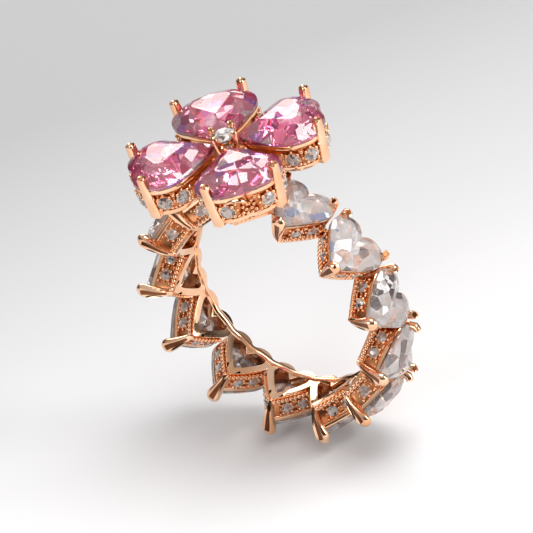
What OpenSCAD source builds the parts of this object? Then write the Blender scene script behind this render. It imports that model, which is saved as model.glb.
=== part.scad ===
// Cocktail ring: a band of heart-set stones carrying a four-petal flower head.
// Origin at the centre of the finger hole, +Y along the finger, +Z up through the flower.
// The points of the band hearts face -Y.

/* [Finger hole and band] */
// Diameter of the finger hole
finger_d = 17.3; // [16:0.1:19]
// Number of heart collets round the band
collet_count = 13; // [13]
// Height of the band stones' girdles above the ring's centre
band_girdle_z = 11.10; // [11:0.05:11.3]
// Width of a band heart stone
band_heart_w = 5.2; // [5:0.05:5.3]
// Length of a band heart stone
band_heart_l = 5.0; // [4.8:0.05:5.1]
// Where the band hearts' points lie along the finger
band_heart_tip_y = -2.60; // [-2.7:0.05:-2.5]
// Diameter of the accent stones in the band
band_accent_d = 0.86; // [0.8:0.02:0.9]
// Diameter of the claws at the lobes of the band hearts
band_claw_d = 0.80; // [0.7:0.05:0.9]

/* [Flower head] */
// Angle of the flower on the band, about the vertical
flower_turn = 45; // [0:5:90]
// Height of the flower's underside above the ring's centre
head_base_z = 12.45; // [12.4:0.05:12.8]
// Height of the petal collets' walls
petal_wall_h = 2.65; // [2.5:0.05:2.8]
// Width of a petal stone
petal_heart_w = 7.1; // [7:0.05:7.2]
// Length of a petal stone
petal_heart_l = 7.0; // [6.9:0.05:7.1]
// Distance of the petal stones' points from the flower's axis
petal_tip_r = 0.95; // [0.9:0.05:1.1]
// Height of the petal claws' tips above the ring's centre
petal_claw_top = 16.42; // [16.3:0.02:16.6]
// Diameter of the accent stones in the petal walls
petal_accent_d = 1.15; // [1:0.05:1.2]
// Diameter of the round stone in the middle
centre_stone_d = 1.95; // [1.8:0.05:2]

/* [Hidden] */
finger_r = finger_d / 2;
pitch = 360 / collet_count;
FINE = 48;
ROSE_GOLD = "#E0A078";
CLEAR = "#E8EEF4";
PINK = "#E07AA0";

// ---- heart outline: a lobe arc and a shallow side arc, mirrored ----
BAND_LOBE_SHARE = 0.268;  // lobe radius over width
PETAL_LOBE_SHARE = 0.35;  // the big stones have rounder lobes and only a shallow cleft
SIDE_SHARE = 2.5;         // side arc radius over width
SIDE_STEPS = 5;
LOBE_STEPS = 11;

function lobe_r(w) = (w > 5.6 ? PETAL_LOBE_SHARE : BAND_LOBE_SHARE) * w;
function lobe_centre(w, l, tip_y) = [w / 2 - lobe_r(w), tip_y + l - lobe_r(w)];
function side_r(w) = SIDE_SHARE * w;
// Centre of the side arc: it runs through the point and meets the lobe arc smoothly
function side_centre(w, l, tip_y) =
    let (a = lobe_centre(w, l, tip_y),
         d = norm([a[0], a[1] - tip_y]),
         reach = side_r(w) - lobe_r(w),
         along = (reach * reach - side_r(w) * side_r(w) + d * d) / (2 * d),
         off = sqrt(reach * reach - along * along),
         u = [-a[0], tip_y - a[1]] / d)
    a + along * u + off * [u[1], -u[0]];
function polar(c, r, angle) = c + r * [cos(angle), sin(angle)];
function bearing(v) = atan2(v[1], v[0]);
function side_from(w, l, tip_y) = let (c = side_centre(w, l, tip_y)) bearing([0, tip_y] - c);
function side_to(w, l, tip_y) =
    bearing(lobe_centre(w, l, tip_y) - side_centre(w, l, tip_y));
function heart_half(w, l, tip_y) =
    let (sc = side_centre(w, l, tip_y),
         lc = lobe_centre(w, l, tip_y),
         a0 = side_from(w, l, tip_y),
         a1 = side_to(w, l, tip_y),
         a2 = 180 - acos(lc[0] / lobe_r(w)))
    concat(
        [for (i = [0:SIDE_STEPS]) polar(sc, side_r(w), a0 + (a1 - a0) * i / SIDE_STEPS)],
        [for (i = [1:LOBE_STEPS]) polar(lc, lobe_r(w), a1 + (a2 - a1) * i / LOBE_STEPS)]);
function heart_points(w, l, tip_y) =
    let (half = heart_half(w, l, tip_y), last = len(half) - 1)
    concat(half, [for (i = [last - 1:-1:1]) [-half[i][0], half[i][1]]]);
// The same outline shrunk by a share about the heart's middle
function heart_middle(l, tip_y) = [0, tip_y + 0.58 * l];
function shrunk(points, share, middle) = [for (p = points) middle + share * (p - middle)];

// ---- small shapes ----
module rod(from, to, r_from, r_to) {
    v = to - from;
    translate(from)
        rotate([0, acos(v[2] / norm(v)), bearing([v[0], v[1]])])
            cylinder(h = norm(v), r1 = r_from, r2 = r_to, $fn = FINE);
}

module ball(at, r) translate(at) sphere(r = r, $fn = 32);

// Heart stone: girdle at z 0, crown above, pavilion below
module heart_stone(w, l, tip_y, grow = 1) {
    middle = heart_middle(l, tip_y);
    outline = shrunk(heart_points(w, l, tip_y), grow, middle);
    table = shrunk(outline, 0.62, middle);
    n = len(outline);
    girdle = 0.03 * w;
    crown = 0.155 * w * grow;
    pavilion = 0.40 * w * grow;
    points = concat(
        [[middle[0], middle[1], -pavilion]],
        [for (p = outline) [p[0], p[1], 0]],
        [for (p = outline) [p[0], p[1], girdle]],
        [for (p = table) [p[0], p[1], girdle + crown]],
        [[middle[0], middle[1], girdle + crown]]);
    top = 3 * n + 1;
    function next(i) = (i + 1) % n;
    polyhedron(points = points, faces = concat(
        [for (i = [0:n - 1]) [0, 1 + i, 1 + next(i)]],
        [for (ring = [0:1], i = [0:n - 1])
            [1 + ring * n + i, 1 + (ring + 1) * n + i, 1 + (ring + 1) * n + next(i), 1 + ring * n + next(i)]],
        [for (i = [0:n - 1]) [top, 1 + 2 * n + next(i), 1 + 2 * n + i]]));
}

// Round stone: girdle at z 0, table up
module round_stone(d) {
    crown = 0.15 * d;
    pavilion = 0.43 * d;
    cylinder(h = crown, r1 = d / 2, r2 = 0.29 * d, $fn = FINE);
    translate([0, 0, -pavilion]) cylinder(h = pavilion, r1 = 0, r2 = d / 2, $fn = FINE);
}

// Straight heart ring, z from low to high
module heart_rail(w, l, tip_y, low, high, inner_share) {
    outline = heart_points(w, l, tip_y);
    translate([0, 0, low]) linear_extrude(height = high - low)
        difference() {
            polygon(outline);
            polygon(shrunk(outline, inner_share, heart_middle(l, tip_y)));
        }
}

// Tapered heart wall between two rails; scale is about the collet's own axis
module heart_wall(w, l, tip_y, low, high, low_share, inner_share) {
    outline = heart_points(w, l, tip_y);
    inner = shrunk(outline, inner_share, heart_middle(l, tip_y));
    translate([0, 0, high]) mirror([0, 0, 1])
        linear_extrude(height = high - low, scale = low_share)
            difference() {
                polygon(outline);
                polygon(inner);
            }
}

// Places its children on the side wall, facing out. along runs 0 at the point to 1 at the lobe
module on_side(w, l, tip_y, share, along, z, side) {
    a0 = side_from(w, l, tip_y);
    a1 = side_to(w, l, tip_y);
    angle = a0 + (a1 - a0) * along;
    p = share * polar(side_centre(w, l, tip_y), side_r(w), angle);
    mirror([side < 0 ? 1 : 0, 0, 0])
        translate([p[0], p[1], z]) rotate([0, 90, angle]) children();
}

// Places its children on the lobe wall, facing out. turn is counted from straight ahead of the lobe
module on_lobe(w, l, tip_y, share, turn, z, side) {
    angle = 90 - turn;
    p = share * polar(lobe_centre(w, l, tip_y), lobe_r(w), angle);
    mirror([side < 0 ? 1 : 0, 0, 0])
        translate([p[0], p[1], z]) rotate([0, 90, angle]) children();
}

// ---- band ----
band_gallery_low = finger_r + 0.15;   // the lower gallery's inner face, just clear of the finger
band_gallery_top = 9.45;
band_wall_top = 10.85;
band_low_share = 0.80;                // the collets narrow towards the finger
band_accent_z = 9.92;
band_accent_share = 0.895;            // wall outline at the accents' height
band_accent_places = [0.42, 0.83];
band_claw_at = [2.27, 1.86];
band_claw_tip_z = 11.95;
band_front_claw_y = -2.62;
band_front_claw_r = 0.44;

module at_collet(k) rotate([0, k * pitch, 0]) children();

module wedge() {
    reach = 16;
    half = reach * tan(pitch / 2);
    rotate([90, 0, 0]) linear_extrude(height = 8, center = true)
        polygon([[0, 0], [half, reach], [-half, reach]]);
}

module band_stone_shape(grow = 1)
    translate([0, 0, band_girdle_z])
        heart_stone(band_heart_w, band_heart_l, band_heart_tip_y, grow);

module band_accent_seats() {
    for (side = [-1, 1], along = band_accent_places)
        on_side(band_heart_w, band_heart_l, band_heart_tip_y, band_accent_share, along, band_accent_z, side)
            cylinder(h = 1.2, d = band_accent_d - 0.06, center = true, $fn = FINE);
}

module band_frame_shape() {
    // lower gallery, upper rail, and the pierced walls of the pointed half
    intersection() {
        heart_rail(band_heart_w * 0.84, band_heart_l * 0.86, band_heart_tip_y * 0.80,
            finger_r - 0.6, band_gallery_top, 0.66);
        rotate([90, 0, 0]) cylinder(h = 8, r = band_gallery_top, center = true, $fn = FINE);
    }
    heart_rail(band_heart_w, band_heart_l, band_heart_tip_y, band_wall_top - 0.45, band_wall_top, 0.80);
    intersection() {
        heart_wall(band_heart_w * 0.97, band_heart_l * 0.97, band_heart_tip_y * 0.97,
            band_gallery_top - 0.35, band_wall_top - 0.2, band_low_share, 0.80);
        translate([-4, -4, 8]) cube([8, 4.6, 4]);
    }
}

module band_claws() {
    for (side = [-1, 1]) {
        tip = [side * band_claw_at[0], band_claw_at[1], band_claw_tip_z];
        foot = [side * band_claw_at[0] * 0.76, band_claw_at[1] * 0.80, 8.95];
        rod(foot, tip, band_claw_d / 2, band_claw_d / 2);
        ball(tip, band_claw_d / 2 + 0.04);
    }
    front_tip = [0, band_front_claw_y, 11.55];
    rod([0, band_front_claw_y * 0.80, 9.0], front_tip, band_front_claw_r, band_front_claw_r);
    ball(front_tip, band_front_claw_r + 0.06);
}

module band_collet(k) color(ROSE_GOLD) at_collet(k) {
    difference() {
        intersection() {
            union() {
                band_frame_shape();
                band_claws();
            }
            wedge();
        }
        rotate([90, 0, 0]) cylinder(h = 10, r = band_gallery_low, center = true, $fn = FINE);
        band_stone_shape(1.015);
        band_accent_seats();
        rail_clearance();
    }
}

// The collet under the flower has no stone and no lobe claws: the stem stands in it
stem_r = 1.15;
module top_collet() color(ROSE_GOLD) difference() {
    intersection() {
        union() {
            band_frame_shape();
            heart_rail(band_heart_w * 0.9, band_heart_l * 0.9, band_heart_tip_y * 0.9,
                band_wall_top - 1.2, band_wall_top - 0.6, 0.1);
        }
        wedge();
    }
    rotate([90, 0, 0]) cylinder(h = 10, r = band_gallery_low, center = true, $fn = FINE);
    translate([0, 0, 8]) cylinder(h = 6, r = stem_r, $fn = FINE);
    band_accent_seats();
    rail_clearance();
}

module band_heart(k) color(CLEAR) at_collet(k) band_stone_shape();

module band_accents(k) color(CLEAR) at_collet(k)
    for (side = [-1, 1], along = band_accent_places)
        on_side(band_heart_w, band_heart_l, band_heart_tip_y, band_accent_share, along, band_accent_z, side)
            translate([0, 0, 0.06]) round_stone(band_accent_d);

// Continuous rail along the back edge, which every collet is soldered to
back_rail_y = [1.25, 1.85];
back_rail_r = [finger_r, 9.0];
module back_rail_shape(slack = 0) {
    y_mid = (back_rail_y[0] + back_rail_y[1]) / 2;
    w = back_rail_y[1] - back_rail_y[0] + 2 * slack;
    translate([0, y_mid, 0]) rotate([90, 0, 0])
        difference() {
            cylinder(h = w, r = back_rail_r[1] + slack, center = true, $fn = FINE);
            cylinder(h = w + 1, r = back_rail_r[0] - slack, center = true, $fn = FINE);
        }
}
module back_rail() color(ROSE_GOLD) back_rail_shape();
module rail_clearance() back_rail_shape(0.005);

// ---- flower head ----
petal_girdle_z = head_base_z + petal_wall_h + 0.05;
petal_low_share = 0.86;
petal_tip_y = -petal_heart_l * 0.55;        // the collet's own axis runs through the heart's middle
petal_middle_r = petal_tip_r - petal_tip_y; // distance of that axis from the flower's axis
petal_accent_z = head_base_z + 1.30;
petal_accent_share = 0.925;
petal_accent_turns = [18, 74, 112];         // round each lobe, from its outer end back towards the point
petal_claw_turn = 45;
petal_claw_r = 0.45;
petal_claw_lean = 0.50;
petal_names = ["front_right", "back_right", "back_left", "front_left"];

// Petal 0 points to the front right; the collet's own +Y runs outwards from the flower's axis
module at_petal(i) rotate([0, 0, flower_turn - 180 + 90 * i])
    translate([0, petal_middle_r, 0]) children();

module petal_stone_shape(grow = 1)
    translate([0, 0, petal_girdle_z]) heart_stone(petal_heart_w, petal_heart_l, petal_tip_y, grow);

module petal_accent_places_do() {
    for (side = [-1, 1], turn = petal_accent_turns)
        on_lobe(petal_heart_w, petal_heart_l, petal_tip_y, petal_accent_share, turn, petal_accent_z, side)
            children();
}

module petal_claws() {
    lc = lobe_centre(petal_heart_w, petal_heart_l, petal_tip_y);
    for (side = [-1, 1]) {
        top = polar(lc, lobe_r(petal_heart_w) - 0.02, petal_claw_turn);
        low = polar(lc, lobe_r(petal_heart_w) - petal_claw_lean, petal_claw_turn);
        tip = [side * top[0], top[1], petal_claw_top - petal_claw_r];
        rod([side * low[0], low[1], head_base_z + 0.12], tip, petal_claw_r, petal_claw_r);
        ball(tip, petal_claw_r);
    }
}

module petal_collet(i) color(ROSE_GOLD) at_petal(i) {
    top = head_base_z + petal_wall_h;
    difference() {
        union() {
            heart_rail(petal_heart_w, petal_heart_l, petal_tip_y, top - 0.50, top, 0.82);
            heart_wall(petal_heart_w * 0.97, petal_heart_l * 0.97, petal_tip_y * 0.97,
                head_base_z + 0.2, top - 0.2, petal_low_share, 0.84);
            heart_rail(petal_heart_w * petal_low_share, petal_heart_l * petal_low_share,
                petal_tip_y * petal_low_share, head_base_z, head_base_z + 0.42, 0.76);
            petal_claws();
        }
        petal_stone_shape(1.012);
        petal_accent_places_do()
            cylinder(h = 1.6, d = petal_accent_d - 0.08, center = true, $fn = FINE);
    }
}

module petal_stone(i) color(PINK) at_petal(i) petal_stone_shape();

module petal_accents(i) color(CLEAR) at_petal(i)
    petal_accent_places_do() translate([0, 0, 0.08]) round_stone(petal_accent_d);

// Four-claw basket for the round stone, standing in the middle between the petals
centre_claw_at = 0.83;
centre_claw_r = 0.27;
centre_top = 16.60;
centre_girdle_z = centre_top - 0.55;
module centre_basket() color(ROSE_GOLD) rotate([0, 0, flower_turn]) difference() {
    union() {
        for (x = [-1, 1], y = [-1, 1]) {
            tip = [x * centre_claw_at, y * centre_claw_at, centre_top - centre_claw_r];
            knee = [x * centre_claw_at * 0.92, y * centre_claw_at * 0.92, petal_girdle_z + 0.1];
            rod(knee, tip, centre_claw_r, centre_claw_r);
            ball(tip, centre_claw_r);
        }
        translate([0, 0, petal_girdle_z + 0.05]) difference() {
            cylinder(h = 0.3, r = 1.15, $fn = FINE);
            translate([0, 0, -1]) cylinder(h = 3, r = 0.72, $fn = FINE);
        }
        translate([0, 0, head_base_z + 0.45])
            cylinder(h = petal_girdle_z - head_base_z - 0.2, r1 = 0.5, r2 = 0.78, $fn = FINE);
    }
    translate([0, 0, centre_girdle_z]) scale(1.01) round_stone(centre_stone_d);
    for (i = [0:3]) rotate([0, 0, -flower_turn]) at_petal(i) petal_stone_shape(1.012);
}

module centre_stone() color(CLEAR) rotate([0, 0, flower_turn])
    translate([0, 0, centre_girdle_z]) round_stone(centre_stone_d);

// Plate under the four petals, and the stem that joins it to the collet below
plate_r = 2.9;
module head_plate() color(ROSE_GOLD) difference() {
    translate([0, 0, head_base_z - 0.45]) cylinder(h = 0.45, r = plate_r, $fn = FINE);
    for (a = [0:90:270]) rotate([0, 0, a + flower_turn])
        translate([1.95, 0, head_base_z - 1]) cylinder(h = 2, r = 0.55, $fn = FINE);
}

module head_stem() color(ROSE_GOLD) {
    translate([0, 0, band_wall_top - 1.4])
        cylinder(h = head_base_z - 0.45 - band_wall_top + 1.4, r = stem_r - 0.005, $fn = FINE);
}

function numbered(name, k) = str(name, k < 10 ? "0" : "", k);

back_rail();
top_collet();
band_accents(0);  // top_accents
head_stem();
head_plate();
centre_basket();
centre_stone();
for (k = [1:collet_count - 1]) {
    band_collet(k);
    band_heart(k);
    band_accents(k);
}
for (i = [0:3]) {
    petal_collet(i);
    petal_stone(i);
    petal_accents(i);
}
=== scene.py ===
import bpy, bmesh, math
from math import sin, cos, radians, pi, sqrt
from mathutils import Vector, Matrix


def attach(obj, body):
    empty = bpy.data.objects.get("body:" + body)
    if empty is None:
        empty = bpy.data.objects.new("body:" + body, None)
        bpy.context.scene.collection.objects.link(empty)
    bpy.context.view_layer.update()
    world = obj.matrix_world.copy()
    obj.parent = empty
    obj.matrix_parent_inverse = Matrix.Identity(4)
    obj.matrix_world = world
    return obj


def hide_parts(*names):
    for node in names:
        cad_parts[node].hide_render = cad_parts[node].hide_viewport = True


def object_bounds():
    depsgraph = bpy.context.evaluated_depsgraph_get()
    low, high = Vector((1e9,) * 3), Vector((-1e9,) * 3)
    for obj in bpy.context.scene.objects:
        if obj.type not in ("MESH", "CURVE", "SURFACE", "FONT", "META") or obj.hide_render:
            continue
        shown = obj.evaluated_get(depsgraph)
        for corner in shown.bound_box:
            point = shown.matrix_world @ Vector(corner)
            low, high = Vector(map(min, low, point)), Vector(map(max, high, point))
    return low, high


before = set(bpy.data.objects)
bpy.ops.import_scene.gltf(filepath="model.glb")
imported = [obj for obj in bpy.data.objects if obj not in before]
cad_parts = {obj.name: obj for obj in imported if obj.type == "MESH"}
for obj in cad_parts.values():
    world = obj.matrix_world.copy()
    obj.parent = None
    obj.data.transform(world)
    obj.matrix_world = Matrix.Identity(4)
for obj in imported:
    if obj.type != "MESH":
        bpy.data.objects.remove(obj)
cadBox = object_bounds()
print("frame loaded:", len(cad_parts), "nodes")

mm = 0.001
ring = {
    "settings": 13,        # heart settings round the band
    "flowerTurn": 45,      # degrees, the petals lie on the diagonals
    "galleryRadius": 8.8,  # inner face of the collets' galleries, mm
}
pitch = 2 * pi / ring["settings"]
petalNames = ["front_right", "back_right", "back_left", "front_left"]


# materials
def newMaterial(name):
    mat = bpy.data.materials.new(name)
    mat.use_nodes = True
    nodes, links = mat.node_tree.nodes, mat.node_tree.links
    return mat, nodes, links, nodes["Principled BSDF"]


def objectNoise(nodes, links, scale, detail=3.0):
    coords = nodes.new("ShaderNodeTexCoord")
    noise = nodes.new("ShaderNodeTexNoise")
    noise.inputs["Scale"].default_value = scale
    noise.inputs["Detail"].default_value = detail
    links.new(coords.outputs["Object"], noise.inputs["Vector"])
    return noise.outputs["Fac"]


def ramp(nodes, links, source, stops):
    node = nodes.new("ShaderNodeValToRGB")
    element = node.color_ramp.elements
    element[0].position, element[0].color = stops[0][0], (*stops[0][1], 1)
    element[1].position, element[1].color = stops[-1][0], (*stops[-1][1], 1)
    for place, colour in stops[1:-1]:
        element.new(place).color = (*colour, 1)
    links.new(source, node.inputs["Fac"])
    return node.outputs["Color"]


def spread(nodes, links, source, low, high):
    node = nodes.new("ShaderNodeMapRange")
    node.inputs["To Min"].default_value = low
    node.inputs["To Max"].default_value = high
    links.new(source, node.inputs["Value"])
    return node.outputs["Result"]


goldSurface = {          # how fine each pattern is, per metre
    "plating": 420.0, "polish": 1500.0, "grain": 2600.0, "grainStrength": 0.25,
}


def roseGold(name, pale, deep, rough, bumpDepth):
    mat, nodes, links, shader = newMaterial(name)
    shader.inputs["Metallic"].default_value = 1.0
    plating = objectNoise(nodes, links, goldSurface["plating"], 2.0)   # slow drift of the plating's colour
    links.new(ramp(nodes, links, plating, [(0.35, deep), (0.65, pale)]), shader.inputs["Base Color"])
    polish = objectNoise(nodes, links, goldSurface["polish"], 4.0)   # where the polish is a little duller
    links.new(spread(nodes, links, polish, rough[0], rough[1]), shader.inputs["Roughness"])
    grain = objectNoise(nodes, links, goldSurface["grain"], 2.0)   # casting grain under the polish
    bump = nodes.new("ShaderNodeBump")
    bump.inputs["Strength"].default_value = goldSurface["grainStrength"]
    bump.inputs["Distance"].default_value = bumpDepth
    links.new(grain, bump.inputs["Height"])
    links.new(bump.outputs["Normal"], shader.inputs["Normal"])
    return mat


def cutStone(name, toneAndPaintedReflections, ior, clear, cellSize, tilt):
    # the stone's own tone, and painted reflections: colours a turned facet can throw back, painted into the
    # base colour cell by cell, from the commonest outwards
    mat, nodes, links, shader = newMaterial(name)
    shader.inputs["Transmission Weight"].default_value = clear
    shader.inputs["IOR"].default_value = ior
    coords = nodes.new("ShaderNodeTexCoord")
    cells = nodes.new("ShaderNodeTexVoronoi")
    cells.inputs["Scale"].default_value = 1 / cellSize
    links.new(coords.outputs["Object"], cells.inputs["Vector"])
    split = nodes.new("ShaderNodeSeparateColor")
    links.new(cells.outputs["Color"], split.inputs["Color"])
    # painted reflections: each cell takes one of the listed colours as its base colour
    node = nodes.new("ShaderNodeValToRGB")
    node.color_ramp.interpolation = "CONSTANT"
    element = node.color_ramp.elements
    element[0].color = (*toneAndPaintedReflections[0][1], 1)
    element[1].position, element[1].color = toneAndPaintedReflections[-1][0], (*toneAndPaintedReflections[-1][1], 1)
    for place, colour in toneAndPaintedReflections[1:-1]:
        element.new(place).color = (*colour, 1)
    links.new(split.outputs["Red"], node.inputs["Fac"])
    links.new(node.outputs["Color"], shader.inputs["Base Color"])
    # each small facet leans its own way, so it flashes on its own
    lean = nodes.new("ShaderNodeVectorMath")
    lean.operation = "MULTIPLY_ADD"
    lean.inputs[1].default_value = (tilt, tilt, tilt)
    lean.inputs[2].default_value = (-tilt / 2, -tilt / 2, -tilt / 2)
    links.new(cells.outputs["Color"], lean.inputs[0])
    surface = nodes.new("ShaderNodeNewGeometry")
    total = nodes.new("ShaderNodeVectorMath")
    total.operation = "ADD"
    links.new(lean.outputs["Vector"], total.inputs[0])
    links.new(surface.outputs["Normal"], total.inputs[1])
    unit = nodes.new("ShaderNodeVectorMath")
    unit.operation = "NORMALIZE"
    links.new(total.outputs["Vector"], unit.inputs[0])
    links.new(unit.outputs["Vector"], shader.inputs["Normal"])
    lap = objectNoise(nodes, links, 900.0, 2.0)       # faint lap marks on the facets
    links.new(spread(nodes, links, lap, 0.0, 0.02), shader.inputs["Roughness"])
    return mat


gold = roseGold("Rose gold polish", (0.97, 0.64, 0.43), (0.88, 0.47, 0.26), (0.07, 0.16), 0.000004)
# a rougher bright-cut finish, and painted shade: its darker colour stands in for the shadow in the recessed
# channels
brightCutPaintedShade = roseGold("Rose gold bright-cut, painted shade", (0.80, 0.36, 0.16), (0.52, 0.17, 0.06), (0.16, 0.32), 0.00001)
# the stones' own tones, and painted reflections: the white, dark, violet, blue and gold-rose stops paint
# facet flashes into the base colour
pinkToneAndPaintedReflections = [(0.0, (0.98, 0.26, 0.40)), (0.30, (1.0, 0.46, 0.58)), (0.52, (0.84, 0.10, 0.26)),
              (0.68, (1.0, 0.84, 0.88)), (0.80, (0.60, 0.22, 0.70)), (0.90, (0.44, 0.03, 0.15))]
clearToneAndPaintedReflections = [(0.0, (1.0, 1.0, 1.0)), (0.40, (0.95, 0.91, 0.90)), (0.52, (1.0, 0.72, 0.60)),
               (0.70, (0.28, 0.25, 0.25)), (0.82, (1.0, 1.0, 1.0)), (0.97, (0.60, 0.70, 1.0))]
accentToneAndPaintedReflections = [(0.0, (0.95, 0.93, 0.92)), (0.36, (0.55, 0.50, 0.49)), (0.56, (1.0, 0.98, 0.95)),
                (0.76, (0.16, 0.13, 0.13)), (0.90, (0.85, 0.60, 0.46))]
pinkStone = cutStone("Pink stone", pinkToneAndPaintedReflections, 1.90, 0.82, 0.00095, 0.32)
clearStone = cutStone("Clear stone", clearToneAndPaintedReflections, 1.85, 0.70, 0.00082, 0.46)
accentStone = cutStone("Accent stone", accentToneAndPaintedReflections, 1.90, 0.55, 0.00026, 0.80)
# painted shade: a dark gold for the hollows, standing in for their shadow
paintedPitShade = roseGold("Rose gold in shadow", (0.24, 0.085, 0.035), (0.07, 0.022, 0.010), (0.12, 0.25), 0.000004)
print("materials ready")


# mesh helpers; everything is built in mm about its own setting
tolerance = {            # mm
    "weld": 0.0002,      # closer points of a finished piece become one
    "seam": 0.0005,      # the same along a mirror line
    "cut": 0.0003,       # how exactly a facet's plane is cut
}


def edgesOf(items):
    return [g for g in items if isinstance(g, bmesh.types.BMEdge)]


def vertsOf(items):
    return [g for g in items if isinstance(g, bmesh.types.BMVert)]


def facesOf(items):
    return [g for g in items if isinstance(g, bmesh.types.BMFace)]


def addPart(piece, part, place=None, keep=False):
    mesh = bpy.data.meshes.new("part")
    part.to_mesh(mesh)
    if place is not None:
        mesh.transform(place)
        if place.determinant() < 0:
            mesh.flip_normals()
    piece.from_mesh(mesh)
    bpy.data.meshes.remove(mesh)
    if not keep:
        part.free()


def finishPiece(name, bm, material, node, place, sharp=0.6, flat=False):
    bmesh.ops.remove_doubles(bm, verts=bm.verts, dist=tolerance["weld"])
    bmesh.ops.recalc_face_normals(bm, faces=bm.faces)
    bm.transform(Matrix.Scale(mm, 4) @ place)
    for face in bm.faces:
        face.smooth = not flat
    for edge in bm.edges:
        edge.smooth = edge.calc_face_angle(pi) < sharp
    mesh = bpy.data.meshes.new(name)
    bm.to_mesh(mesh)
    bm.free()
    mesh.materials.append(material)
    if material is gold:
        mesh.materials.append(brightCutPaintedShade)          # index 1: the bright-cut channels, rougher, and darker in colour as painted shade for the recess
        mesh.materials.append(paintedPitShade)                # index 2: hollows with painted shade, a dark colour standing in for their shadow
    piece = bpy.data.objects.new(name, mesh)
    bpy.context.scene.collection.objects.link(piece)
    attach(piece, "root")
    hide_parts(node)
    return piece


def mirrored(part):
    bmesh.ops.mirror(part, geom=part.verts[:] + part.edges[:] + part.faces[:], matrix=Matrix(),
                     merge_dist=tolerance["seam"], axis="X")
    bmesh.ops.remove_doubles(part, verts=part.verts, dist=tolerance["seam"])
    bmesh.ops.recalc_face_normals(part, faces=part.faces)
    return part


# heart outline: a shallow side arc, then a lobe arc
heartForm = {
    "sideShare": 2.5,        # radius of the side arc, in widths
    "middleShare": 0.58,     # where the stone's lowest point lies, in lengths from the tip
    "sideSteps": 6, "lobeSteps": 14,
    "rimAngle": 1.0,         # radians, edges turned more than this are rounded
}


class Heart:
    def __init__(self, width, length, tipY, lobeShare=0.268):
        self.width, self.length, self.tipY = width, length, tipY
        self.lobeR = lobeShare * width
        self.sideR = heartForm["sideShare"] * width
        self.lobe = Vector((width / 2 - self.lobeR, tipY + length - self.lobeR, 0))
        tip = Vector((0, tipY, 0))
        gap = (tip - self.lobe).length
        reach = self.sideR - self.lobeR
        along = (reach ** 2 - self.sideR ** 2 + gap ** 2) / (2 * gap)
        off = sqrt(reach ** 2 - along ** 2)
        toTip = (tip - self.lobe) / gap
        self.side = self.lobe + along * toTip + off * Vector((toTip.y, -toTip.x, 0))
        start, turn = tip - self.side, self.lobe - self.side
        self.tipAngle = math.atan2(start.y, start.x)
        self.turnAngle = math.atan2(turn.y, turn.x)
        self.cleftAngle = pi - math.acos(self.lobe.x / self.lobeR)
        self.middle = Vector((0, tipY + heartForm["middleShare"] * length, 0))


def touchPoint(shape, angle):
    out = Vector((cos(angle), sin(angle), 0))
    if angle < shape.turnAngle:
        return shape.side + shape.sideR * out
    return shape.lobe + shape.lobeR * out


def heartFace(shape, z):
    bm = bmesh.new()
    tip = bm.verts.new((0, shape.tipY, z))
    lift = Vector((0, 0, z))
    side = bmesh.ops.spin(bm, geom=[tip], cent=shape.side + lift, axis=(0, 0, 1),
                          angle=shape.turnAngle - shape.tipAngle, steps=heartForm["sideSteps"])
    bmesh.ops.spin(bm, geom=vertsOf(side["geom_last"]), cent=shape.lobe + lift, axis=(0, 0, 1),
                   angle=shape.cleftAngle - shape.turnAngle, steps=heartForm["lobeSteps"])
    bmesh.ops.mirror(bm, geom=bm.verts[:] + bm.edges[:], matrix=Matrix(),
                     merge_dist=tolerance["seam"], axis="X")
    bmesh.ops.remove_doubles(bm, verts=bm.verts, dist=tolerance["seam"])
    bmesh.ops.contextual_create(bm, geom=bm.edges[:])
    return bm


def heartRail(shape, wall, low, high, lowShare=1.0, roundness=0.08, segments=2):
    bm = heartFace(shape, high)
    whole = bm.faces[:]
    bmesh.ops.inset_region(bm, faces=whole, thickness=wall, use_even_offset=True, use_boundary=True)
    bmesh.ops.delete(bm, geom=whole, context="FACES")
    made = bmesh.ops.extrude_face_region(bm, geom=bm.faces[:])
    lower = vertsOf(made["geom"])
    bmesh.ops.translate(bm, verts=lower, vec=(0, 0, low - high))
    bmesh.ops.scale(bm, verts=lower, vec=(lowShare, lowShare, 1))
    bmesh.ops.recalc_face_normals(bm, faces=bm.faces)
    rims = [e for e in bm.edges if e.is_manifold and e.calc_face_angle(0) > heartForm["rimAngle"]]
    bmesh.ops.bevel(bm, geom=rims, offset=roundness, segments=segments, affect="EDGES", profile=0.5,
                    material=-1, clamp_overlap=True)
    return bm


postForm = {
    "strapPower": 4,         # how square a strap's section is
    "grooveEdge": 0.72, "grooveRun": 0.24,      # where a groove starts, in shares of the depth
    "innerDish": 0.3,        # the dish's second step, as a share of the first
}


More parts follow.
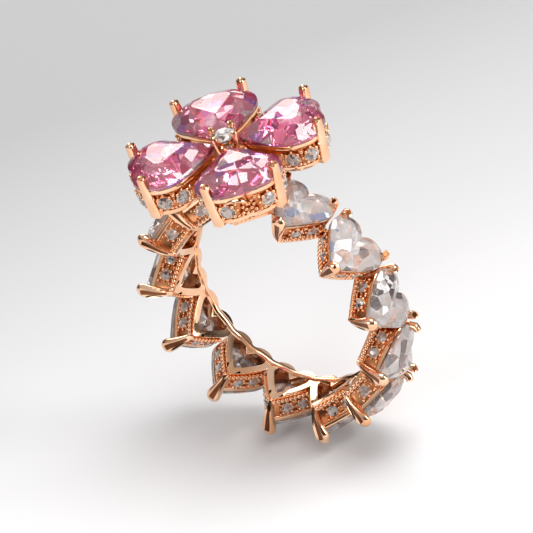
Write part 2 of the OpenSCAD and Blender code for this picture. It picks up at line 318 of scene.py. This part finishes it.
def loftPost(stations, sides=14, grooves=None, dish=None, facing=None):
    bm = bmesh.new()
    loops, sunk = [], set()
    for i, (place, across, deep) in enumerate(stations):
        before = Vector(stations[max(i - 1, 0)][0])
        after = Vector(stations[min(i + 1, len(stations) - 1)][0])
        run = (after - before).normalized()
        left = facing.cross(run).normalized() if facing else Vector((1, 0, 0))
        front = run.cross(left).normalized()
        left = front.cross(run)
        turn = Matrix((left, front, run)).transposed().to_4x4()
        made = bmesh.ops.create_circle(
            bm, cap_ends=False, segments=sides, radius=1,
            matrix=Matrix.Translation(place) @ turn @ Matrix.Diagonal((across, deep, 1, 1)))
        loop = made["verts"]
        if facing:                                # a strap: rounded square section
            for vert in loop:
                offset = vert.co - Vector(place)
                a, b = abs(offset.dot(left) / across), abs(offset.dot(front) / deep)
                power = postForm["strapPower"]
                vert.co = Vector(place) + offset / (a ** power + b ** power) ** (1 / power)
        if grooves and grooves[i] > 0:
            for vert in loop:
                outward = (Vector(place) - vert.co).dot(front) / deep
                if outward > postForm["grooveEdge"]:
                    share = (outward - postForm["grooveEdge"]) / postForm["grooveRun"]
                    vert.co += front * grooves[i] * min(1, share)
                    sunk.add(vert)
        loops.append(list(dict.fromkeys(e for v in loop for e in v.link_edges)))     # in a fixed order
    for first, second in zip(loops, loops[1:]):
        bmesh.ops.bridge_loops(bm, edges=first + second)
    # painted shade: the groove's faces take the dark painted-shade gold
    for face in bm.faces:
        if all(vert in sunk for vert in face.verts):
            face.material_index = 2
    ends = [bmesh.ops.edgeloop_fill(bm, edges=loops[0]), bmesh.ops.edgeloop_fill(bm, edges=loops[-1])]
    if dish:
        top = facesOf(ends[1]["faces"])
        bmesh.ops.inset_region(bm, faces=top, thickness=dish[0], use_boundary=True)
        bmesh.ops.translate(bm, verts=list({v for f in top for v in f.verts}), vec=run * -dish[1])
        bmesh.ops.inset_region(bm, faces=top, thickness=dish[0] * postForm["innerDish"], use_boundary=True)
        bmesh.ops.translate(bm, verts=list({v for f in top for v in f.verts}), vec=run * -dish[1])
        # painted shade: the dish's centre takes the dark painted-shade gold
        for face in top:
            face.material_index = 2
    bmesh.ops.recalc_face_normals(bm, faces=bm.faces)
    return bm


# cut stones: flat facets cut one plane at a time
def facet(bm, point, normal):
    done = bmesh.ops.bisect_plane(bm, geom=bm.verts[:] + bm.edges[:] + bm.faces[:], dist=tolerance["cut"],
                                  plane_co=point, plane_no=normal, clear_outer=True)
    rim = [e for e in edgesOf(done["geom_cut"]) if e.is_boundary]
    if rim:
        bmesh.ops.edgeloop_fill(bm, edges=rim)


def block(low, high):
    bm = bmesh.new()
    size = [high[i] - low[i] for i in range(3)]
    centre = [(high[i] + low[i]) / 2 for i in range(3)]
    bmesh.ops.create_cube(bm, size=1, matrix=Matrix.Translation(centre) @ Matrix.Diagonal((*size, 1)))
    return bm


heartCut = {
    "mains": [-40, -30.5, -14, 14, 42, 70, 98, 126, 147],   # degrees round half the heart
    "roundMains": [-41, -31, -14, 10, 34, 58, 82],          # the same for a heart with a shallow cleft
    "girdle": 0.03,      # shares of the stone's width
    "crown": 0.155,
    "pavilion": 0.40,
    "tableOffset": 0.215,
    "upper": 1.32,       # steepness of the cuts by the girdle, against the main ones
    "star": 0.58, "starBack": 1.28,             # the cuts by the table: steepness and setback
    "lowerAim": 1.045,   # steepness of the cuts below the girdle
    "girdleCuts": 32,
    "margin": (0.4, 0.3),                       # spare material round and under the rough stone, mm
    "shallowCleft": 0.3,                        # from this lobe share on, the cleft counts as shallow
}


def heartStone(shape):
    w = shape.width
    girdle, crown, depth = heartCut["girdle"] * w, heartCut["crown"] * w, heartCut["pavilion"] * w
    inset = heartCut["tableOffset"] * w
    spare, under = heartCut["margin"]
    bm = block((0, shape.tipY - spare, -depth - under),
               (w * 0.56, shape.tipY + shape.length + spare, girdle + crown))
    for i in range(heartCut["girdleCuts"] + 1):
        angle = shape.tipAngle + (shape.cleftAngle - shape.tipAngle) * i / heartCut["girdleCuts"]
        facet(bm, touchPoint(shape, angle), (cos(angle), sin(angle), 0))
    culet = Vector((0, shape.middle.y, -depth))
    shallow = shape.lobeR > heartCut["shallowCleft"] * w
    mains = [radians(a) for a in heartCut["roundMains" if shallow else "mains"]]
    between = [(a + b) / 2 for a, b in zip(mains, mains[1:])]

    def crownCut(angle, rise, run, lift=0.0, back=0.0):
        out = Vector((cos(angle), sin(angle), 0))
        slope = Vector((out.x * rise, out.y * rise, run)).normalized()
        facet(bm, touchPoint(shape, angle) - out * back + Vector((0, 0, girdle + lift)), slope)

    def pavilionCut(angle, aim):
        start = touchPoint(shape, angle)
        out = Vector((cos(angle), sin(angle), 0))
        reach = (start - culet).dot(out)
        facet(bm, start, Vector((out.x * depth * aim, out.y * depth * aim, -reach)).normalized())

    for angle in mains:
        crownCut(angle, crown, inset)
        pavilionCut(angle, 1.0)
    for angle in between:
        crownCut(angle, crown * heartCut["upper"], inset)
        crownCut(angle, crown * heartCut["star"], inset, lift=crown, back=inset * heartCut["starBack"])
        pavilionCut(angle, heartCut["lowerAim"])
    seam = [f for f in bm.faces if all(abs(v.co.x) < tolerance["seam"] for v in f.verts)]
    bmesh.ops.delete(bm, geom=seam, context="FACES_ONLY")
    return mirrored(bm)


roundCut = {
    "girdleFacets": 16, "mains": 8,
    "rough": 1.2, "depth": 0.95, "crown": 0.36, "girdle": 0.06,      # shares of the stone's radius
    "crownSlope": (0.6, 0.85), "pavilionSlope": (0.87, -1.0),        # outwards and upwards
}


def roundStone(size):
    r = size / 2
    rough, depth, crown = roundCut["rough"], roundCut["depth"], roundCut["crown"]
    bm = block((-r * rough, -r * rough, -depth * r), (r * rough, r * rough, crown * r))
    for i in range(roundCut["girdleFacets"]):
        angle = 2 * pi * i / roundCut["girdleFacets"]
        facet(bm, (r * cos(angle), r * sin(angle), 0), (cos(angle), sin(angle), 0))
    (crownOut, crownUp), (lowOut, lowUp) = roundCut["crownSlope"], roundCut["pavilionSlope"]
    for i in range(roundCut["mains"]):
        angle = 2 * pi * i / roundCut["mains"]
        out = Vector((cos(angle), sin(angle), 0))
        facet(bm, out * r + Vector((0, 0, roundCut["girdle"] * r)), out * crownOut + Vector((0, 0, crownUp)))
        facet(bm, out * r, out * lowOut + Vector((0, 0, lowUp)))
    return bm


def bead(size):
    bm = bmesh.new()
    bmesh.ops.create_uvsphere(bm, u_segments=8, v_segments=6, radius=size)
    return bm


# places on a heart wall
def wallPlace(shape, share, angle, z, side):
    spot = touchPoint(shape, angle) * share
    out = Vector((cos(angle), sin(angle), 0))
    if side < 0:
        spot.x, out.x = -spot.x, -out.x
    along = Vector((0, 0, 1)).cross(out)
    turn = Matrix((along, out.cross(along), out)).transposed().to_4x4()
    return Matrix.Translation((spot.x, spot.y, z)) @ turn


accentSetting = {        # mm, outwards from the wall's face
    "rowLift": 0.02, "rowShare": 0.8, "stoneLift": 0.05, "beadLift": 0.08,
    "collarShare": 0.56, "collarLow": -0.12, "collarHeight": 0.18, "collarWall": 0.07,
}


def setAccent(metal, stones, place, size, beadSize, beadGap, rows=()):
    setting = accentSetting
    for x, y in rows:
        spot = Matrix.Translation((x, y, setting["rowLift"]))
        addPart(metal, bead(beadSize * setting["rowShare"]), place @ spot)
    addPart(stones, accentTemplate(size), place @ Matrix.Translation((0, 0, setting["stoneLift"])))
    collar = bmesh.new()
    bmesh.ops.create_circle(collar, cap_ends=False, segments=20, radius=size * setting["collarShare"],
                            matrix=Matrix.Translation((0, 0, setting["collarLow"])))
    rim = collar.edges[:]
    made = bmesh.ops.extrude_edge_only(collar, edges=rim)
    bmesh.ops.translate(collar, verts=vertsOf(made["geom"]), vec=(0, 0, setting["collarHeight"]))
    bmesh.ops.solidify(collar, geom=collar.faces[:], thickness=setting["collarWall"])
    addPart(metal, collar, place)
    for turn in range(4):
        angle = pi / 4 + pi * turn / 2
        spot = Matrix.Translation((cos(angle) * beadGap, sin(angle) * beadGap, setting["beadLift"]))
        addPart(metal, bead(beadSize), place @ spot)


accentCache = {}


def accentTemplate(size):
    if size not in accentCache:
        accentCache[size] = roundStone(size)
    return accentCache[size].copy()


# band: thirteen heart collets round the finger
band = {
    "heartWidth": 5.2, "heartLength": 5.0, "tipY": -2.60, "girdleZ": 11.10,
    "railHeight": 0.42, "railWall": 0.42,
    "galleryShare": 0.84, "galleryWall": 0.60, "galleryHeight": 0.62,
    "accentSize": 0.86, "accentZ": 9.92, "beadSize": 0.14,
    "accentAlong": [0.42, 0.83],      # places down each pierced wall, tip to lobe
    "accentShare": 0.885, "accentLean": 9, "beadGap": 0.50,
    "beadRows": [(0.0, 0.56), (0.0, -0.56), (0.56, 0.0), (-0.56, 0.0),
                 (0.60, 0.50), (-0.60, 0.50), (0.60, -0.50), (-0.60, -0.50)],
    "scallops": [0.10, 0.21, 0.32, 0.43, 0.54, 0.65, 0.76, 0.87, 0.98], "scallopZ": 9.14, "scallopSize": 0.21,
    "scallopShare": 0.865, "railDrop": 0.12, "galleryLengthShare": 0.86, "galleryTipShare": 0.80,
    "wallShare": 0.90, "wallThickness": 0.34, "wallHeights": (9.2, 10.6),
}
bandHeart = Heart(band["heartWidth"], band["heartLength"], band["tipY"])


def bandGallery():
    share = band["galleryShare"]
    small = Heart(band["heartWidth"] * share, band["heartLength"] * band["galleryLengthShare"],
                  band["tipY"] * band["galleryTipShare"])
    low = ring["galleryRadius"]
    bm = heartRail(small, band["galleryWall"], low, low + band["galleryHeight"],
                   roundness=0.27, segments=4)
    for vert in bm.verts:             # the loop follows the curve of the finger
        vert.co.z += sqrt(low ** 2 - vert.co.x ** 2) - low
    return bm


def bandWalls():
    share = band["wallShare"]
    wall = Heart(band["heartWidth"] * share, band["heartLength"] * share, band["tipY"] * share)
    low, high = band["wallHeights"]
    bm = heartRail(wall, band["wallThickness"], low, high, lowShare=0.85, roundness=0.04)
    bmesh.ops.bisect_plane(bm, geom=bm.verts[:] + bm.edges[:] + bm.faces[:], plane_co=(0, 0.75, 0),
                           plane_no=(0, 1, -0.35), clear_outer=True)
    bmesh.ops.holes_fill(bm, edges=[e for e in bm.edges if e.is_boundary], sides=0)
    # painted shade: the recessed walls take the darker bright-cut gold
    for face in bm.faces:
        face.material_index = 1
    return bm


tipClaw = {
    # y, z, half width, half depth and groove depth at each station
    "stations": [
        (-1.90, 8.86, 0.10, 0.12, 0.0), (-2.02, 8.98, 0.20, 0.22, 0.0), (-2.22, 9.40, 0.28, 0.32, 0.10),
        (-2.42, 9.90, 0.36, 0.40, 0.18), (-2.56, 10.40, 0.45, 0.45, 0.24), (-2.64, 10.85, 0.54, 0.47, 0.26),
        (-2.68, 11.20, 0.60, 0.47, 0.22), (-2.69, 11.50, 0.61, 0.45, 0.08), (-2.64, 11.76, 0.54, 0.39, 0.0),
        (-2.57, 11.95, 0.38, 0.28, 0.0), (-2.50, 12.05, 0.16, 0.12, 0.0),
    ],
}


def bandTipClaw():
    stations = [((0, y, z), across, deep) for y, z, across, deep, groove in tipClaw["stations"]]
    return loftPost(stations, sides=16, grooves=[row[4] for row in tipClaw["stations"]])


lobeClaw = {
    "foot": (1.70, 1.42, 8.92), "knee": (2.10, 1.72, 10.4),
    "tip": (2.28, 1.88, 11.72), "over": (2.14, 1.74, 12.06),
    "radius": 0.34, "shares": [0.8, 0.88, 0.95, 1.0, 1.02, 0.98, 0.84],     # foot to end
}


def bandLobeClaw():
    foot, knee, tip, over = (Vector(lobeClaw[k]) for k in ("foot", "knee", "tip", "over"))
    spots = [foot, foot.lerp(knee, 0.5), knee, knee.lerp(tip, 0.5), tip, tip.lerp(over, 0.5), over]
    sizes = [lobeClaw["radius"] * share for share in lobeClaw["shares"]]
    return loftPost([(spot, r, r) for spot, r in zip(spots, sizes)], dish=(0.07, 0.05))


def mirrorPlace():
    return Matrix.Diagonal((-1, 1, 1, 1))


def bandCollet(stoned=True):
    metal, stones = bmesh.new(), bmesh.new()
    girdle, drop = band["girdleZ"], band["railDrop"]
    addPart(metal, heartRail(bandHeart, band["railWall"], girdle - drop - band["railHeight"], girdle - drop,
                             lowShare=0.955, roundness=0.12, segments=3))
    addPart(metal, bandGallery())
    addPart(metal, bandWalls())
    if stoned:
        addPart(metal, bandTipClaw())
        claw = bandLobeClaw()
        addPart(metal, claw, mirrorPlace(), keep=True)
        addPart(metal, claw)
    span = bandHeart.turnAngle - bandHeart.tipAngle
    for side in (-1, 1):
        for along in band["accentAlong"]:
            place = wallPlace(bandHeart, band["accentShare"], bandHeart.tipAngle + span * along,
                              band["accentZ"], side)
            lean = Matrix.Rotation(radians(band["accentLean"]), 4, "X")
            setAccent(metal, stones, place @ lean, band["accentSize"], band["beadSize"],
                      band["beadGap"], band["beadRows"])
        for along in band["scallops"]:
            place = wallPlace(bandHeart, band["scallopShare"], bandHeart.tipAngle + span * along,
                              band["scallopZ"], side)
            addPart(metal, bead(band["scallopSize"]), place @ Matrix.Diagonal((1, 1, 0.8, 1)))
    return metal, stones


bandMetal, bandAccents = bandCollet()
bandStone = heartStone(bandHeart)
for k in range(1, ring["settings"]):
    place = Matrix.Rotation(k * pitch, 4, "Y")
    finishPiece("bandCollet%02d" % k, bandMetal.copy(), gold, "band_collet_%02d" % k, place)
    finishPiece("bandAccents%02d" % k, bandAccents.copy(), accentStone, "band_accents_%02d" % k,
                place, flat=True)
    finishPiece("bandHeart%02d" % k, bandStone.copy(), clearStone, "band_heart_%02d" % k,
                place @ Matrix.Translation((0, 0, band["girdleZ"])), flat=True)
topMetal, topAccents = bandCollet(stoned=False)
finishPiece("topCollet", topMetal, gold, "top_collet", Matrix())
finishPiece("topAccents", topAccents, accentStone, "top_accents", Matrix(), flat=True)
print("band made")

backRail = {"y": 1.55, "halfWidth": 0.32, "inner": 8.65, "outer": 9.0, "scallop": 0.10,
            "sides": 16, "squareness": 0.4, "stepsPerSetting": 16}


def scallopedRail():
    bm = bmesh.new()
    low, high = backRail["inner"], backRail["outer"]
    middle = (low + high) / 2
    made = bmesh.ops.create_circle(bm, cap_ends=False, segments=backRail["sides"], radius=1)
    for vert in made["verts"]:
        x, y = vert.co.x, vert.co.y
        squared = max(abs(x), abs(y)) ** backRail["squareness"]
        vert.co = Vector((0, backRail["y"] + y * squared * backRail["halfWidth"],
                          middle + x * squared * (high - low) / 2))
    bmesh.ops.spin(bm, geom=bm.edges[:], cent=(0, 0, 0), axis=(0, 1, 0), angle=2 * pi,
                   steps=ring["settings"] * backRail["stepsPerSetting"], use_merge=True)
    bmesh.ops.remove_doubles(bm, verts=bm.verts, dist=tolerance["weld"])
    for vert in bm.verts:             # the back edge bulges behind each lobe
        turn = math.atan2(vert.co.x, vert.co.z)
        wave = abs(sin(ring["settings"] * turn))
        vert.co.y += backRail["scallop"] * (wave - 0.5)
    return bm


finishPiece("backRail", scallopedRail(), gold, "back_rail", Matrix())
print("rail made")

# flower head: four petal collets
petal = {
    "heartWidth": 7.1, "heartLength": 7.0, "tipDistance": 0.95, "baseZ": 12.45, "wallHeight": 2.65,
    "lowShare": 0.86, "accentSize": 1.15, "accentZ": 13.75, "accentShare": 0.915, "beadSize": 0.17,
    # a point of the scroll: across, outwards, up, thickness
    "scroll": [(1.80, 2.98, 14.56, 0.05), (1.45, 3.07, 14.66, 0.11), (1.05, 3.10, 14.66, 0.14),
               (0.65, 3.06, 14.54, 0.16), (0.32, 2.96, 14.34, 0.16), (0.08, 2.86, 14.10, 0.13),
               (0.0, 2.80, 13.90, 0.07)],
    # degrees round the lobe and height of each loose bead
    "wallBeads": [(101, 13.25), (109, 13.45), (103, 13.75), (113, 13.85),
                  (106, 14.12), (98, 14.35), (98, 13.0), (110, 13.08)],
    "beadRows": [(0.78, 0.62), (-0.78, 0.62), (0.80, 0.05), (-0.80, 0.05),
                 (0.78, -0.55), (-0.78, -0.55), (0.0, -0.72), (0.0, 0.74)],
    "tipShare": 0.55, "innerShare": 0.905, "accentLean": 8, "beadGap": 0.66,
    "postAngle": 45, "postLean": 0.46,
    "lobeShare": 0.35, "accentAngles": [72, 16, -22], "clawTop": 16.40,
    # share of the height, half width and half depth of a post
    "post": [(0.0, 0.42, 0.30), (0.015, 0.48, 0.36), (0.06, 0.50, 0.38), (0.3, 0.48, 0.38), (0.6, 0.43, 0.37),
             (0.8, 0.38, 0.36), (0.93, 0.355, 0.35), (0.975, 0.35, 0.345), (1.0, 0.30, 0.30)],
}
petalTipY = -petal["heartLength"] * petal["tipShare"]
petalHeart = Heart(petal["heartWidth"], petal["heartLength"], petalTipY, petal["lobeShare"])
petalReach = petal["tipDistance"] - petalTipY


def petalPost():
    angle = radians(petal["postAngle"])
    out = Vector((cos(angle), sin(angle), 0))
    top = petalHeart.lobe + petalHeart.lobeR * out
    low = petalHeart.lobe + (petalHeart.lobeR - petal["postLean"]) * out
    base, high = petal["baseZ"], petal["clawTop"]
    stations = []
    for share, across, deep in petal["post"]:
        spot = Vector((low.x, low.y, base + 0.02)).lerp(Vector((top.x, top.y, high)), share)
        stations.append((spot, across, deep))
    return loftPost(stations, sides=24, dish=(0.07, 0.05), facing=out)


def petalScroll():
    # a small curled wire laid over the outer cleft
    return loftPost([(Vector((x, y, z)), r, r) for x, y, z, r in petal["scroll"]], sides=10)


def petalCollet():
    metal, stones = bmesh.new(), bmesh.new()
    base, top = petal["baseZ"], petal["baseZ"] + petal["wallHeight"]
    low = Heart(petal["heartWidth"] * petal["lowShare"], petal["heartLength"] * petal["lowShare"],
                petalTipY * petal["lowShare"], petal["lobeShare"])
    addPart(metal, heartRail(petalHeart, 0.5, top - 0.46, top, lowShare=0.975, roundness=0.13, segments=3))
    share = petal["innerShare"]
    inner = Heart(petal["heartWidth"] * share, petal["heartLength"] * share, petalTipY * share,
                  petal["lobeShare"])
    channel = heartRail(inner, 0.36, base + 0.25, top - 0.3, lowShare=0.90, roundness=0.04)
    # painted shade: the recessed channel takes the darker bright-cut gold
    for face in channel.faces:
        face.material_index = 1
    addPart(metal, channel)
    addPart(metal, heartRail(low, 0.62, base, base + 0.44, lowShare=0.97, roundness=0.13, segments=3))
    addPart(metal, petalScroll())
    for angle, z in petal["wallBeads"]:
        for side in (-1, 1):
            addPart(metal, bead(petal["beadSize"]), wallPlace(petalHeart, share, radians(angle), z, side))
    post = petalPost()
    addPart(metal, post, mirrorPlace(), keep=True)
    addPart(metal, post)
    for side in (-1, 1):
        for angle in petal["accentAngles"]:
            place = wallPlace(petalHeart, petal["accentShare"], radians(angle), petal["accentZ"], side)
            lean = Matrix.Rotation(radians(petal["accentLean"]), 4, "X")
            setAccent(metal, stones, place @ lean, petal["accentSize"], petal["beadSize"],
                      petal["beadGap"], petal["beadRows"])
    return metal, stones


petalMetal, petalAccents = petalCollet()
petalStone = heartStone(petalHeart)
for i, name in enumerate(petalNames):
    turn = Matrix.Rotation(radians(ring["flowerTurn"] - 180 + 90 * i), 4, "Z")
    place = turn @ Matrix.Translation((0, petalReach, 0))
    label = name.title().replace("_", "")
    finishPiece("petalCollet" + label, petalMetal.copy(), gold, "petal_collet_" + name, place)
    finishPiece("petalAccents" + label, petalAccents.copy(), accentStone, "petal_accents_" + name,
                place, flat=True)
    finishPiece("petalStone" + label, petalStone.copy(), pinkStone, "petal_stone_" + name,
                place @ Matrix.Translation((0, 0, petal["baseZ"] + petal["wallHeight"] + 0.05)), flat=True)
print("petals made")

# the small basket in the middle, and what carries the flower
basket = {
    "stoneSize": 1.95, "girdleZ": 16.05, "clawSpot": 0.80, "clawRadius": 0.31,
    # share of the claw's distance, height and thickness, foot to end
    "claw": [(0.45, 13.4, 0.7), (0.62, 14.3, 0.8), (0.8, 15.0, 0.88), (0.93, 15.6, 0.95),
             (1.0, 16.1, 1.0), (1.02, 16.42, 1.0), (1.0, 16.54, 0.86)],
    # radius and height round each turned section
    "seat": [(0.78, 15.42), (0.90, 15.36), (1.02, 15.42), (1.06, 15.54), (1.0, 15.66), (0.86, 15.68),
             (0.76, 15.58)],
    "cup": [(0.30, 13.2), (0.52, 13.2), (0.60, 13.6), (0.70, 14.4), (0.84, 15.1), (0.84, 15.42),
            (0.70, 15.42), (0.56, 14.6), (0.36, 13.8)],
}
head = {
    "plate": [(1.25, 12.02), (2.70, 12.02), (2.84, 12.08), (2.88, 12.2), (2.84, 12.36), (2.70, 12.43),
              (2.2, 12.43), (2.1, 12.3), (1.9, 12.3), (1.8, 12.43), (1.25, 12.43)],
    "stem": [(0.2, 9.5), (1.1, 9.5), (1.14, 9.9), (0.98, 10.6), (0.92, 11.2), (1.02, 11.7), (1.30, 12.0),
             (1.30, 12.1), (0.2, 12.1)],
}


def turnedShape(profile, steps=48):
    bm = bmesh.new()
    verts = [bm.verts.new((r, 0, z)) for r, z in profile]
    for a, b in zip(verts, verts[1:] + verts[:1]):
        bm.edges.new((a, b))
    bmesh.ops.spin(bm, geom=bm.edges[:], cent=(0, 0, 0), axis=(0, 0, 1), angle=2 * pi, steps=steps,
                   use_merge=True)
    bmesh.ops.remove_doubles(bm, verts=bm.verts, dist=tolerance["weld"])
    bmesh.ops.recalc_face_normals(bm, faces=bm.faces)
    return bm


def centreBasket():
    metal = bmesh.new()
    spot, r = basket["clawSpot"], basket["clawRadius"]
    for turn in range(4):
        stations = [(Vector((spot * share, spot * share, z)), r * grow, r * grow)
                    for share, z, grow in basket["claw"]]
        claw = loftPost(stations, sides=14, dish=(0.06, 0.04))
        addPart(metal, claw, Matrix.Rotation(turn * pi / 2, 4, "Z"))
    addPart(metal, turnedShape(basket["seat"]))
    addPart(metal, turnedShape(basket["cup"]))
    return metal


turnFlower = Matrix.Rotation(radians(ring["flowerTurn"]), 4, "Z")
finishPiece("centreBasket", centreBasket(), gold, "centre_basket", turnFlower)
finishPiece("centreStone", roundStone(basket["stoneSize"]), accentStone, "centre_stone",
            turnFlower @ Matrix.Translation((0, 0, basket["girdleZ"])), flat=True)
finishPiece("headPlate", turnedShape(head["plate"]), gold, "head_plate", turnFlower)
finishPiece("headStem", turnedShape(head["stem"]), gold, "head_stem", turnFlower)
print("head made")

# floor, light and camera
studio = {
    "floorSize": 3.0, "floorNear": (0.95, 0.95, 0.955), "floorFarPaintedShade": (0.40, 0.40, 0.41),
    "floorScale": 7.0, "roomGrey": 0.30,
}
view = {
    "aim": (-1.04, 1.11, 2.55), "distance": 397.94,                 # mm
    "azimuth": -46.10, "elevation": 30.83, "roll": -18.03,          # degrees
    "lens": 335.3,
}
lowest = cadBox[0][2]


def paleFloor():
    bm = bmesh.new()
    bmesh.ops.create_grid(bm, x_segments=8, y_segments=8, size=studio["floorSize"] / 2,
                          matrix=Matrix.Translation((0, 0, lowest)))
    mesh = bpy.data.meshes.new("floor")
    bm.to_mesh(mesh)
    bm.free()
    floor = bpy.data.objects.new("floor", mesh)
    bpy.context.scene.collection.objects.link(floor)
    mat, nodes, links, shader = newMaterial("Pale paper")
    coords = nodes.new("ShaderNodeTexCoord")
    mapping = nodes.new("ShaderNodeMapping")
    mapping.vector_type = "POINT"
    # painted shade: the paper's colour darkens away from the camera, standing in for the light falling off
    mapping.inputs["Rotation"].default_value = (0, 0, radians(-180 - view["azimuth"]))
    mapping.inputs["Scale"].default_value = (studio["floorScale"],) * 3
    mapping.inputs["Location"].default_value = (0.5, 0, 0)
    links.new(coords.outputs["Object"], mapping.inputs["Vector"])
    split = nodes.new("ShaderNodeSeparateXYZ")
    links.new(mapping.outputs["Vector"], split.inputs["Vector"])
    shade = ramp(nodes, links, split.outputs["X"],
                 [(0.15, studio["floorNear"]), (0.95, studio["floorFarPaintedShade"])])
    links.new(shade, shader.inputs["Base Color"])
    shader.inputs["Roughness"].default_value = 0.9
    mesh.materials.append(mat)


def softbox(name, place, size, power, colour=(1, 1, 1)):
    light = bpy.data.lights.new(name, "AREA")
    light.shape = "RECTANGLE"
    light.size, light.size_y = size
    light.energy = power
    light.color = colour
    lamp = bpy.data.objects.new(name, light)
    bpy.context.scene.collection.objects.link(lamp)
    lamp.location = place
    lamp.rotation_euler = (-Vector(place)).to_track_quat("-Z", "Y").to_euler()
    lamp.visible_camera = False


def room():
    world = bpy.data.worlds.new("room")
    bpy.context.scene.world = world
    world.use_nodes = True
    nodes, links = world.node_tree.nodes, world.node_tree.links
    coords = nodes.new("ShaderNodeTexCoord")
    split = nodes.new("ShaderNodeSeparateXYZ")
    links.new(coords.outputs["Generated"], split.inputs["Vector"])
    grey = studio["roomGrey"]
    shade = ramp(nodes, links, split.outputs["Z"], [(0.0, (grey * 0.25,) * 3), (0.18, (0.02, 0.02, 0.02)),
                                                   (0.45, (grey, grey, grey)), (0.8, (grey * 2,) * 3)])
    links.new(shade, nodes["Background"].inputs["Color"])
    nodes["Background"].inputs["Strength"].default_value = 1.0


paleFloor()
room()
softbox("backBox", (-0.20, 0.22, 0.17), (0.24, 0.18), 0.60, (1.0, 0.95, 0.92))
softbox("topBox", (0.10, 0.05, 0.34), (0.20, 0.20), 0.9)
softbox("sideBox", (0.30, 0.10, 0.10), (0.10, 0.20), 0.5)
softbox("frontBox", (-0.05, -0.34, 0.16), (0.16, 0.10), 0.3)
cameraData = bpy.data.cameras.new("camera")
cameraData.lens, cameraData.sensor_width = view["lens"], 36.0
cameraData.clip_start = 0.01
camera = bpy.data.objects.new("camera", cameraData)
bpy.context.scene.collection.objects.link(camera)
towards = (Matrix.Rotation(radians(90 + view["azimuth"]), 4, "Z")
           @ Matrix.Rotation(radians(90 - view["elevation"]), 4, "X"))
away = towards @ Vector((0, 0, view["distance"]))
camera.matrix_world = (Matrix.Translation((Vector(view["aim"]) + away) * mm)
                       @ towards @ Matrix.Rotation(radians(view["roll"]), 4, "Z"))
bpy.context.scene.camera = camera
bpy.context.scene.view_settings.view_transform = "Standard"
print("studio ready")
